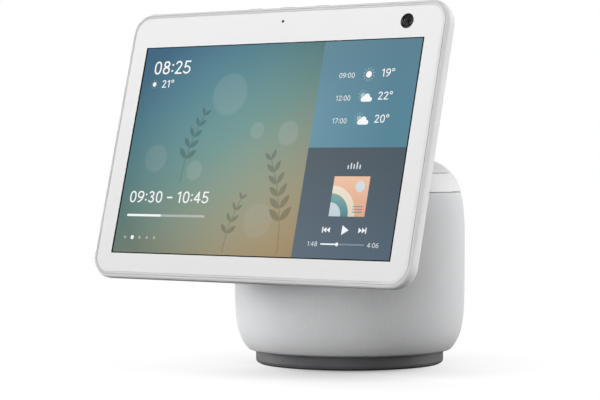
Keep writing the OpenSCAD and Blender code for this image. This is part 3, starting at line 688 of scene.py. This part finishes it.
# ---------------------------------------------------------------- the cover glass
def build_glass():
    bevel = 0.4
    d = Drawing()
    d.paint(round_rect(-GLASS_X + bevel, GLASS_X - bevel, -GLASS_DN + bevel, GLASS_UP - bevel, GLASS_R - bevel), "white")
    d.paint([(-WIN_X, -WIN_T), (WIN_X, -WIN_T), (WIN_X, WIN_T), (-WIN_X, WIN_T)], "window")
    d.paint(disc(CAM_S, CAM_T, CAM_R + 0.1, 56), "hole")
    d.paint(disc(DOT_S, DOT_T, DOT_R, 24), "dot")
    co, tris, zones, loops = d.cut(drop=("window", "hole"))
    used = sorted({i for f in tris for i in f})
    new = {v: k for k, v in enumerate(used)}
    n = len(used)
    tris = [[new[i] for i in f] for f in tris]
    outer, window, hole = ([new[i] for i in loops[k]] for k in range(3))
    flat = [co[i] for i in used]
    verts = [on_display(x, y, 0.0) for x, y in flat]
    back_at = list(flat)
    full = ccw(round_rect(-GLASS_X, GLASS_X, -GLASS_DN, GLASS_UP, GLASS_R))
    for k, v in enumerate(outer):
        back_at[v] = full[k]
    for k, v in enumerate(hole):
        back_at[v] = disc(CAM_S, CAM_T, CAM_R, 56)[k]
    verts += [on_display(x, y, GLASS_T) for x, y in back_at]
    faces = list(tris) + [[i + n for i in f[::-1]] for f in tris]
    index = [1 if z == "dot" else 0 for z in zones] * 2
    smooth = [False] * len(faces)

    def wall(loop, rings, mat, inward):
        """Rows of faces from a front loop, through rings of points, to the same loop on the back."""
        nonlocal faces, index, smooth
        rows = [loop]
        for ring in rings:
            rows.append(list(range(len(verts), len(verts) + len(loop))))
            verts.extend(ring)
        rows.append([v + n for v in loop])
        for a, b in zip(rows, rows[1:]):
            for k in range(len(loop)):
                m = (k + 1) % len(loop)
                f = [a[k], b[k], b[m], a[m]]
                faces.append(f[::-1] if inward else f)
                index.append(mat)
                smooth.append(True)

    rings = []
    for phi in (22.5, 45.0, 67.5, 90.0):
        e = bevel * (1 - math.sin(math.radians(phi)))
        pts = ccw(round_rect(-GLASS_X + e, GLASS_X - e, -GLASS_DN + e, GLASS_UP - e, GLASS_R - e))
        rings.append([on_display(x, y, bevel * (1 - math.cos(math.radians(phi)))) for x, y in pts])
    wall(outer, rings, 0, False)
    wall(window, [], 2, True)
    wall(hole, [[on_display(x, y, 0.1) for x, y in disc(CAM_S, CAM_T, CAM_R, 56)]], 2, True)
    o = piece("cover_glass", verts, faces, [M_GLASS, M_DARKGLASS, M_DARKGLASS], "display", index, smooth)
    outwards(o)
    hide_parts("front_glass")
    return o


# ---------------------------------------------------------------- the picture on the screen
def glyph(ch, k):
    """Strokes of a numeral in a box one high: [(outline, solid)], then its width."""
    ring = lambda x, y, rx, ry: [(superoval(x, y, rx, ry), True), (superoval(x, y, rx - k, ry - k), False)]
    h = k / 2
    line = lambda *p: [(stroke(p, k), True)]
    if ch == "0":
        return ring(0.29, 0.5, 0.29, 0.5), 0.58
    if ch == "1":
        return line((0.08, 0.80), (0.28, 1 - h)) + line((0.28, 1 - h), (0.28, h)), 0.42
    if ch == "2":
        return line(*(arc(0.275, 0.735, 0.265 - h, 165, -32, 18) + [(0.20, 0.22), (0.06, h)])) + line((0.06, h), (0.54, h)), 0.58
    if ch == "3":
        return line(*arc(0.26, 0.75, 0.25 - h, 150, -90, 18)) + line(*arc(0.26, 0.275, 0.275 - h, 90, -150, 18)), 0.56
    if ch == "4":
        return line((0.40, 1 - h), (0.04, 0.30)) + line((0.04, 0.30), (0.56, 0.30)) + line((0.40, 1 - h), (0.40, h)), 0.60
    if ch == "5":
        return line((0.13, 1 - h), (0.49, 1 - h)) + line((0.13, 1 - h), (0.10, 0.54)) + line(*arc(0.255, 0.315, 0.315 - h, 132, -148, 20)), 0.57
    if ch == "6":
        return line(*arc(0.52, 0.32, 0.52 - h, 96, 176, 14, 0.68 - h)) + ring(0.29, 0.31, 0.29, 0.31), 0.58
    if ch == "7":
        return line((0.04, 1 - h), (0.52, 1 - h)) + line((0.52, 1 - h), (0.18, h)), 0.55
    if ch == "8":
        a, b = ring(0.29, 0.755, 0.245, 0.245), ring(0.29, 0.28, 0.285, 0.28)
        return [a[0], b[0], a[1], b[1]], 0.58
    if ch == "9":
        turned = lambda p: [(0.58 - x, 1 - y) for x, y in p]
        return [(turned(p), solid) for p, solid in glyph("6", k)[0]], 0.58
    if ch == ":":
        return [(disc(0.09, 0.24, k * 0.66, 20), True), (disc(0.09, 0.70, k * 0.66, 20), True)], 0.18
    if ch == "-":
        return line((0.04, 0.42), (0.32, 0.42)), 0.36
    if ch == "o":
        return [(disc(0.19, 0.84, 0.2, 28), True), (disc(0.19, 0.84, 0.2 - k * 0.78, 28), False)], 0.4
    return [], 0.22


def superoval(x, y, rx, ry, n=44, p=2.35):
    out = []
    for i in range(n):
        c, s = math.cos(2 * math.pi * i / n), math.sin(2 * math.pi * i / n)
        out.append((x + rx * math.copysign(abs(c) ** (2 / p), c), y + ry * math.copysign(abs(s) ** (2 / p), s)))
    return out


def numerals(d, text, x, y, size, ink, ground, k=0.105, gap=0.13, wide=1.16, align="left"):
    """Paints a row of numerals from x on the line y. wide stretches them sideways."""
    run = size * wide
    if align == "right":
        x -= (sum(glyph(c, k)[1] + gap for c in text) - gap) * run
    for c in text:
        shapes, w = glyph(c, k)
        for p, solid in shapes:
            d.paint([(x + px * run, y + py * size) for px, py in p], ink if solid else ground)
        x += (w + gap) * run


def sun(d, x, y, r, ink, rays=10, ray_ink="ray"):
    d.paint(disc(x, y, r, 32), ink)
    for i in range(rays):
        a = 2 * math.pi * (i + 0.5) / rays
        d.paint(stroke([(x + 1.55 * r * math.cos(a), y + 1.55 * r * math.sin(a)), (x + 2.0 * r * math.cos(a), y + 2.0 * r * math.sin(a))], 0.2 * r), ray_ink)


def cloud(d, x, y, w, ink):
    d.paint(stroke([(x - 0.34 * w, y - 0.12 * w), (x + 0.34 * w, y - 0.12 * w)], 0.36 * w, 10), ink)
    d.paint(disc(x + 0.04 * w, y + 0.08 * w, 0.26 * w, 32), ink)
    d.paint(disc(x - 0.22 * w, y - 0.01 * w, 0.17 * w, 28), ink)


def leafy(d, x, y, height, lean, pairs, leaf, zone):
    """A slender stem with paired leaves."""
    stem = [(x + lean * (i / 16) ** 2, y + height * i / 16) for i in range(17)]
    d.paint(stroke(stem, 0.55), zone)
    for q in range(pairs):
        f = 0.34 + 0.62 * q / max(1, pairs - 1)
        bx, by = x + lean * f * f, y + height * f
        size = leaf * (1.1 - 0.55 * f)
        for sgn in (-1, 1):
            a = math.radians(90 - sgn * (52 - 16 * f)) - math.atan2(2 * lean * f, height) * 0.6
            ux, uy = math.cos(a), math.sin(a)
            half = [(size * v, 0.19 * size * math.sin(math.pi * v) ** 0.8) for v in np.linspace(0.04, 1, 12)]
            pts = half + [(u, -w) for u, w in half[::-1][1:-1]]
            d.paint([(bx + u * ux - w * uy, by + u * uy + w * ux) for u, w in pts], zone)


def build_picture():
    d = Drawing()
    rect = lambda x0, x1, t0, t1: [(x0, t0), (x1, t0), (x1, t1), (x0, t1)]
    d.paint(rect(-WIN_X, WIN_X, -WIN_T, WIN_T), "mask")
    d.paint(rect(PIC_L, SPLIT_S, PIC_LO, PIC_UP), "wall")
    d.paint(rect(SPLIT_S, PIC_R, SPLIT_T, PIC_UP), "upper")
    d.paint(rect(SPLIT_S, PIC_R, PIC_LO, SPLIT_T), "lower")
    # Stems in the wallpaper.
    leafy(d, 25.0, -66.8, 62.0, -17.0, 6, 13.0, "stem")
    leafy(d, -18.0, -66.8, 36.0, 9.0, 4, 9.0, "stem")
    leafy(d, -62.0, -22.0, 46.0, 12.0, 5, 10.5, "stem")
    # Clock and outside temperature.
    numerals(d, "08:25", -100.4, 50.5, 8.8, "ink", "wall", 0.115)
    sun(d, -98.2, 43.8, 1.5, "ink", 8, "faint")
    numerals(d, "21o", -91.6, 41.4, 5.1, "ink", "wall", 0.125)
    # Next entry of the day, how far it has run, and page dots.
    numerals(d, "09:30", -102.2, -35.4, 7.6, "ink", "wall", 0.118, wide=1.2)
    d.paint(stroke([(-70.4, -31.9), (-66.6, -31.9)], 1.0), "ink")
    numerals(d, "10:45", -62.4, -35.4, 7.6, "ink", "wall", 0.118, wide=1.2)
    d.paint(stroke([(-101.4, -43.8), (-37.6, -43.8)], 1.5, 8), "faint")
    d.paint(stroke([(-101.4, -43.8), (-74.0, -43.8)], 1.5, 8), "ink")
    for i in range(5):
        d.paint(disc(-100.6 + 6.2 * i, -58.4, 1.35 if i == 1 else 0.95, 28), "ink" if i == 1 else "faint")
    # Hours ahead.
    for k, (hour, degrees, clouds) in enumerate((("09:00", "19o", False), ("12:00", "22o", True), ("17:00", "20o", True))):
        y = 46.6 - 14.4 * k
        numerals(d, hour, 51.4, y - 2.1, 3.3, "dim", "upper", 0.12)
        if clouds:
            sun(d, 71.5, y + 0.9, 1.75, "ray", 10)
            cloud(d, 74.5, y - 0.6, 8.0, "ink")
        else:
            sun(d, 73.6, y - 0.2, 2.1, "ink", 12)
        numerals(d, degrees, 83.0, y - 1.9, 5.0, "ink", "upper", 0.12)
    # Player: level bars, a square of plain shapes, transport signs and the time run.
    for i, h in enumerate((1.6, 3.0, 2.2, 3.6, 1.9)):
        d.paint(stroke([(69.0 + 2.2 * i, -12.4), (69.0 + 2.2 * i, -12.4 + h)], 0.9), "dim")
    x0, x1, y0, y1 = 60.0, 86.6, -42.2, -17.4
    d.paint(rect(x0, x1, y0, y1), "peach")
    d.paint([(x0, y0)] + arc(x0, y0, 19.0, 0, 90, 40), "cream")
    d.paint([(x0, y0)] + arc(x0, y0, 14.2, 0, 90, 40), "teal")
    d.paint([(x0, y0)] + arc(x0, y0, 8.6, 0, 90, 40), "mist")
    d.paint(disc(80.2, -23.6, 3.4, 40), "mist")
    for i in range(3):
        d.paint(stroke([(77.0, -36.0 - 1.7 * i), (84.2, -36.0 - 1.7 * i)], 0.55), "teal")
    for sgn in (-1, 1):
        for j in range(2):
            x = 73.3 + sgn * (10.6 + 2.6 * j)
            d.paint([(x + sgn * 2.4, -50.6), (x, -48.9), (x, -52.3)], "ink")
        d.paint(stroke([(73.3 + sgn * 16.0, -49.1), (73.3 + sgn * 16.0, -52.1)], 0.8), "ink")
    d.paint([(71.6, -47.6), (76.6, -50.6), (71.6, -53.6)], "ink")
    d.paint(stroke([(57.6, -59.4), (89.2, -59.4)], 0.9), "faint2")
    d.paint(stroke([(57.6, -59.4), (69.4, -59.4)], 0.9), "ink")
    d.paint(disc(69.4, -59.4, 1.15, 24), "ink")
    numerals(d, "1:48", 54.8, -60.9, 3.0, "dim", "lower", 0.11, align="right")
    numerals(d, "4:06", 92.0, -60.9, 3.0, "dim", "lower", 0.11)
    ink = (0.95, 0.96, 0.97, 1)
    mats = {
        "mask": M_DARKGLASS,
        "wall": lit("picture_wall", wallpaper(1.0, 0.0)),
        "stem": lit("picture_stem", wallpaper(0.68, 0.0)),
        "faint": lit("picture_faint", wallpaper(1.0, 0.28)),
        "faint2": lit("picture_track", fall(srgb(130, 142, 152), srgb(138, 150, 160), -60.0, -58.0)),
        "upper": lit("picture_upper", panel(srgb(108, 150, 167), srgb(88, 133, 151), srgb(94, 128, 142))),
        "lower": lit("picture_lower", lambda t, s, up: t.mix(t.span(up, PIC_LO, SPLIT_T, 0.0, 1.0), t.mix(t.span(s, SPLIT_S, PIC_R, 0.0, 1.0), srgb(96, 111, 123), srgb(85, 101, 115)), t.mix(t.span(s, SPLIT_S, PIC_R, 0.0, 1.0), srgb(88, 98, 106), srgb(78, 90, 98)))),
        "ink": lit("picture_ink", fall(ink, (0.9, 0.91, 0.92, 1), 60.0, -60.0)),
        "dim": lit("picture_dim", fall((0.8, 0.83, 0.85, 1), (0.72, 0.75, 0.77, 1), 60.0, -60.0)),
        "ray": lit("picture_ray", fall(srgb(176, 194, 200), srgb(168, 190, 196), 52.0, 12.0)),
        "peach": lit("picture_peach", fall(srgb(238, 196, 168), srgb(222, 168, 140), -17.0, -42.0)),
        "cream": lit("picture_cream", fall(srgb(236, 226, 208), srgb(228, 212, 190), -23.0, -42.0)),
        "teal": lit("picture_teal", fall(srgb(132, 172, 170), srgb(86, 136, 142), -28.0, -42.0)),
        "mist": lit("picture_mist", fall(srgb(214, 222, 226), srgb(196, 208, 216), -20.0, -42.0))}
    o = slab("screen_picture", d, mats, "display", 0.0, GLASS_T)
    return o


# ---------------------------------------------------------------- camera behind its window
def build_camera_unit():
    c = (CAM_S, CAM_T)
    o = lathe([(CAM_R - 0.02, 0.12), (CAM_R - 0.1, 0.04), (0, 0.04), (0, 1.1), (CAM_R - 0.02, 1.1)], 56, c, "display", "camera_window", [M_CLEAR], smooth=False)
    o = lathe([(7.2, 2.03), (3.85, 2.03), (3.75, 2.08), (3.75, 2.18), (7.2, 2.18)], 56, c, "display", "camera_shroud", [M_BLACK], smooth=False)
    # Its top is cut flat, clear of the shutter's foot.
    low = Vector(on_display(CAM_S, CAM_T, 0.0))
    rise = (Vector(on_display(CAM_S, CAM_T + 1.0, 0.0)) - low).normalized()
    for v in o.data.vertices:
        v.co -= rise * max((v.co - low).dot(rise) - 5.2 * MM, 0.0)
    # Barrel with a stepped cone and a domed front element, on the module's block.
    prof = [(3.7, 4.0), (3.7, 2.42), (3.55, 2.25), (3.2, 2.25), (3.1, 2.34), (2.95, 2.62), (2.75, 2.62), (2.65, 2.9), (2.45, 2.9), (2.4, 3.12), (2.1, 3.14)]
    dome = [(2.1 * math.cos(a), 3.14 - 0.62 * math.sin(a)) for a in np.radians(np.linspace(0, 90, 10))[1:]]
    index = [0] * 10 + [1] * 9
    bm_obj = lathe(prof + dome, 64, c, "display", "camera_unit", [M_BARREL, M_LENS], index, closed=False)
    bm = bmesh.new()
    bm.from_mesh(bm_obj.data)
    rim = [e for e in bm.edges if e.is_boundary]
    bmesh.ops.contextual_create(bm, geom=rim)
    corners = [(-4.5, -3.9), (4.5, -3.9), (4.5, 4.3), (-4.5, 4.3)]
    top = [bm.verts.new(on_display(CAM_S + x, CAM_T + y, 4.0)) for x, y in corners]
    low = [bm.verts.new(on_display(CAM_S + x, CAM_T + y, 12.3)) for x, y in corners]
    for f in [top, low[::-1]] + [[top[k], low[k], low[(k + 1) % 4], top[(k + 1) % 4]] for k in range(4)]:
        bm.faces.new(f)
    bmesh.ops.recalc_face_normals(bm, faces=bm.faces)
    bm.to_mesh(bm_obj.data)
    bm.free()
    sharp = math.radians(38)
    bm_obj.data.set_sharp_from_angle(angle=sharp)
    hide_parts("camera_module")


# ---------------------------------------------------------------- signs on the top buttons
def build_signs():
    def on_top(i):
        return lambda x, y, h: on_display(i * BTN_PITCH + x, BTN_TOP + 0.025 - h, BTN_D - y)

    minus, plus, mute = Drawing(), Drawing(), Drawing()
    minus.paint(stroke([(-0.75, 0), (0.75, 0)], 0.3), "ink")
    plus.paint(stroke([(-0.75, 0), (0.75, 0)], 0.3), "ink")
    plus.paint(stroke([(0, -0.75), (0, 0.75)], 0.3), "ink")
    mute.paint(disc(0, 0, 0.86, 40), "ink")
    mute.paint(disc(0, 0, 0.60, 40), "hole")
    mute.paint(stroke([(-0.52, -0.52), (0.52, 0.52)], 0.24), "ink")
    for name, i, d, body in (("sign_minus", -1, minus, "volume_down"), ("sign_plus", 0, plus, "volume_up"), ("sign_mute", 1, mute, "mute")):
        o = outwards(slab(name, d, {"ink": M_INKGREY}, body, 0.0, 0.12, ("hole",), on_top(i)))


def paint_rim_shade():
    """The lip between the glass and the fine line round the rim carries painted shade, a greyer copy of the shell, and
    the line is a gap whose inside faces carry darker painted shade.
    """
    mesh = nodes["rear_cover"].data
    mesh.materials.append(M_RIM_PAINTED_SHADE)
    mesh.materials.append(M_GAP_PAINTED_SHADE)

    def from_glass(p):
        y, z = p.y * 1000 - SCR_Y, p.z * 1000 - SCR_Z
        t = y * math.sin(TILT) + z * math.cos(TILT)
        a = abs(p.x) * 1000 - (121.9 - 10.9)
        b = abs(t - 4.0) - (85.1 - 10.9)
        return math.hypot(max(a, 0), max(b, 0)) + min(max(a, b), 0) - 10.9, y * math.cos(TILT) - z * math.sin(TILT)

    far = [from_glass(v.co) for v in mesh.vertices]
    for poly in mesh.polygons:
        at = [far[i] for i in poly.vertices]
        # Faces inside the groove: painted shade in the recess.
        if all(1.46 < w < 1.84 for w, d in at):
            poly.material_index = 2
        # Faces of the lip: painted shade.
        elif all(0.1 < w < 1.54 and d < 1.3 for w, d in at):
            poly.material_index = 1


paint_rim_shade()
build_sleeve()
build_lid()
build_glass()
build_picture()
build_camera_unit()
build_signs()
for name, width in (("band_ring", 0.35), ("neck_arm", 0.5), ("hinge_caps", 0.45), ("hinge_bracket", 0.35), ("jack_bezel", 0.35),
                    ("volume_down_button", 0.3), ("volume_up_button", 0.3), ("mute_button", 0.3), ("shutter_slider", 0.22)):
    soften(name, width)

# ---------------------------------------------------------------- camera
cam = bpy.data.objects.new("camera", bpy.data.cameras.new("camera"))
scene.collection.objects.link(cam)
az, el = math.radians(37.624), math.radians(0.991)
back = Vector((math.sin(az) * math.cos(el), -math.cos(az) * math.cos(el), math.sin(el)))
right = Vector((math.cos(az), math.sin(az), 0))
up = back.cross(right)
cam.matrix_world = Matrix((
    (right.x, up.x, back.x, 0.86876),
    (right.y, up.y, back.y, -1.18023),
    (right.z, up.z, back.z, 0.13166),
    (0, 0, 0, 1)))
cam.data.sensor_fit = "HORIZONTAL"
cam.data.sensor_width = 36.0
cam.data.lens = 134.416
cam.data.clip_start, cam.data.clip_end = 0.05, 30
scene.camera = cam

# ---------------------------------------------------------------- stage and light
scene.view_settings.view_transform = "Standard"
floor_mesh = bpy.data.meshes.new("floor")
bm = bmesh.new()
bmesh.ops.create_circle(bm, cap_ends=True, segments=96, radius=6.0)
bm.to_mesh(floor_mesh)
bm.free()
floor = bpy.data.objects.new("floor", floor_mesh)
scene.collection.objects.link(floor)
ft = Tree("floor_pale_painted_shadow")
# White paper with a painted shadow: it darkens where the object stands close over it, most on the side that the light
# behind leaves in shade.
# For the object the paper glows instead, as painted bounce light, with painted shade that makes it dimmer close round
# the foot.
towards_camera = Vector((back.x, back.y, 0)).normalized()
painted_contact_shadow = ft.add("ShaderNodeAmbientOcclusion", Distance=0.07)
painted_contact_shadow.samples = 16
level = ft.add("ShaderNodeVectorMath")
level.operation = "MULTIPLY"
ft.put(level.inputs[0], ft.add("ShaderNodeNewGeometry").outputs["Position"])
level.inputs[1].default_value = (1, 1, 0)
outward = ft.add("ShaderNodeVectorMath")
outward.operation = "NORMALIZE"
ft.put(outward.inputs[0], level.outputs[0])
painted_shadow_side = ft.add("ShaderNodeVectorMath")
painted_shadow_side.operation = "DOT_PRODUCT"
ft.put(painted_shadow_side.inputs[0], outward.outputs[0])
painted_shadow_side.inputs[1].default_value = towards_camera
depth = ft.math("MULTIPLY_ADD", ft.math("POWER", ft.math("MAXIMUM", painted_shadow_side.outputs["Value"], 0.0), 3.0), 0.82, 0.2)
dim = ft.math("MULTIPLY", ft.math("SUBTRACT", 1.0, painted_contact_shadow.outputs["AO"]), depth)
painted_shadow_paper = ft.add("ShaderNodeEmission", Strength=ft.math("SUBTRACT", 1.005, dim))
mixed = ft.add("ShaderNodeMixShader", Fac=ft.add("ShaderNodeLightPath").outputs["Is Camera Ray"])
reach = ft.add("ShaderNodeVectorMath")
reach.operation = "LENGTH"
ft.put(reach.inputs[0], level.outputs[0])
ft.set(Base_Color=(0, 0, 0, 1), Roughness=0.9, Specular_IOR_Level=0.0, Emission_Color=(1, 1, 1, 1))
ft.set(Emission_Strength=ft.span(reach.outputs["Value"], 0.07, 0.19, 0.06, 0.225))
ft.nt.links.new(ft.bsdf.outputs[0], mixed.inputs[1])
ft.nt.links.new(painted_shadow_paper.outputs[0], mixed.inputs[2])
ft.nt.links.new(mixed.outputs[0], next(n for n in ft.nt.nodes if n.type == "OUTPUT_MATERIAL").inputs[0])
floor_mesh.materials.append(ft.mat)

world = bpy.data.worlds.new("studio")
scene.world = world
world.use_nodes = True
wn = world.node_tree
wn.nodes.clear()


def wmath(op, a, b):
    n = wn.nodes.new("ShaderNodeMath")
    n.operation = op
    for s, v in zip(n.inputs, (a, b)):
        if isinstance(v, bpy.types.NodeSocket):
            wn.links.new(v, s)
        else:
            s.default_value = v
    return n.outputs[0]


direction = wn.nodes.new("ShaderNodeTexCoord").outputs["Generated"]
# Soft boxes: degrees round from the camera towards its right, degrees up, how tight the box is, strength.
SOFT_BOXES = [(330, 3, 12, 3.5), (0, 32, 12, 0.85), (90, 32, 12, 0.95), (120, 32, 12, 2.2), (330, 32, 12, 1.75),
              (105, 8, 70, 22.0), (120, 8, 70, 0.8), (135, 8, 70, 2.6), (240, 8, 70, 24.0), (255, 8, 70, 8.2), (270, 8, 70, 1.7),
              (300, 8, 70, 0.8), (315, 8, 70, 2.2)]


def round_from_camera(turn, rise):
    a, e = math.radians(turn), math.radians(rise)
    return (towards_camera * math.cos(a) + right * math.sin(a)) * math.cos(e) + Vector((0, 0, math.sin(e)))


total = 0.01
for turn, rise, tight, strength in SOFT_BOXES:
    dot = wn.nodes.new("ShaderNodeVectorMath")
    dot.operation = "DOT_PRODUCT"
    wn.links.new(direction, dot.inputs[0])
    dot.inputs[1].default_value = round_from_camera(turn, rise)
    total = wmath("ADD", wmath("MULTIPLY", wmath("POWER", wmath("MAXIMUM", dot.outputs["Value"], 0.0), tight), strength), total)
soft = wn.nodes.new("ShaderNodeBackground")
wn.links.new(total, soft.inputs["Strength"])
plain = wn.nodes.new("ShaderNodeBackground")
plain.inputs["Color"].default_value = (1, 1, 1, 1)
path = wn.nodes.new("ShaderNodeLightPath")
both = wn.nodes.new("ShaderNodeMixShader")
wn.links.new(path.outputs["Is Camera Ray"], both.inputs[0])
wn.links.new(soft.outputs[0], both.inputs[1])
wn.links.new(plain.outputs[0], both.inputs[2])
wout = wn.nodes.new("ShaderNodeOutputWorld")
wn.links.new(both.outputs[0], wout.inputs[0])
soft.inputs["Color"].default_value = (1, 1, 1, 1)
